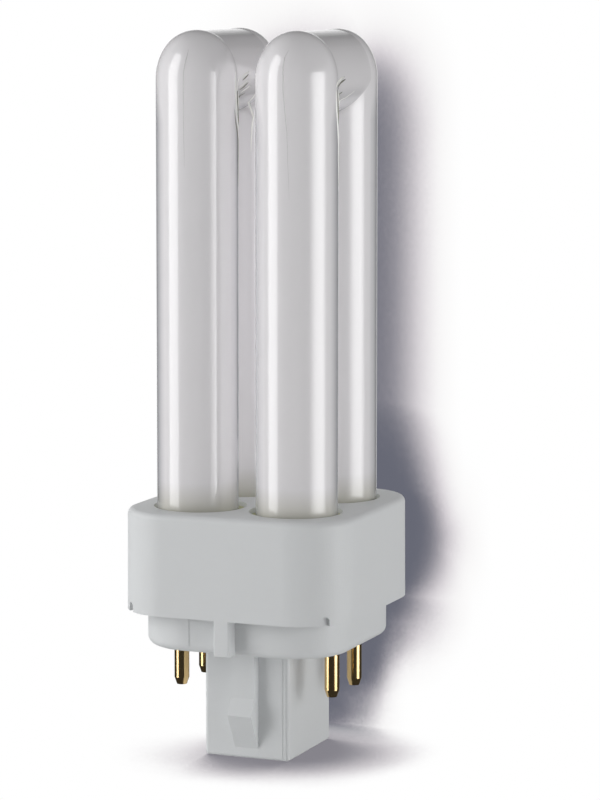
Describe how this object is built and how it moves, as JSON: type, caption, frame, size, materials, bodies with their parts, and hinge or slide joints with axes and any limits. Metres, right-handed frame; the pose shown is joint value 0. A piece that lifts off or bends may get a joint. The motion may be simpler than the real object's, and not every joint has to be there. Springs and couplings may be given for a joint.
{
  "type": "four pin compact fluorescent lamp",
  "caption": "Plug-in compact fluorescent lamp: two bent white-coated glass tubes in a rounded square plastic collar, with a keyed cap, latch post and brass contact pins.",
  "frame": {"origin": "centre of the flat lower end of the locating post, on the lamp's long axis", "axes": "+Z along the lamp, from the post's flat end up to the glass bends; -Y out of the side with the coding key; the contact pins stand in pairs at -X and +X"},
  "size_m": [0.034, 0.034, 0.103],
  "materials": {
    "coated_glass": "glossy clear glass over a white powder coat",
    "housing_plastic": "fine sparked matte, off-white polyester moulding",
    "contact_brass": "bright drawn brass",
    "wire_metal": "nickel-plated iron wire, satin",
    "cement": "pale translucent bonding cement"
  },
  "bodies": {
    "root": {"discharge_tube": "coated_glass", "tube_collar": "housing_plastic", "base_cap": "housing_plastic", "contact_pin_front_left": "contact_brass", "contact_pin_front_right": "contact_brass", "contact_pin_back_left": "contact_brass", "contact_pin_back_right": "contact_brass", "lead_wire_front_left": "wire_metal", "lead_wire_front_right": "wire_metal", "lead_wire_back_left": "wire_metal", "lead_wire_back_right": "wire_metal", "tube_cement_front_left": "cement", "tube_cement_front_right": "cement", "tube_cement_back_left": "cement", "tube_cement_back_right": "cement"}
  },
  "joints": []
}
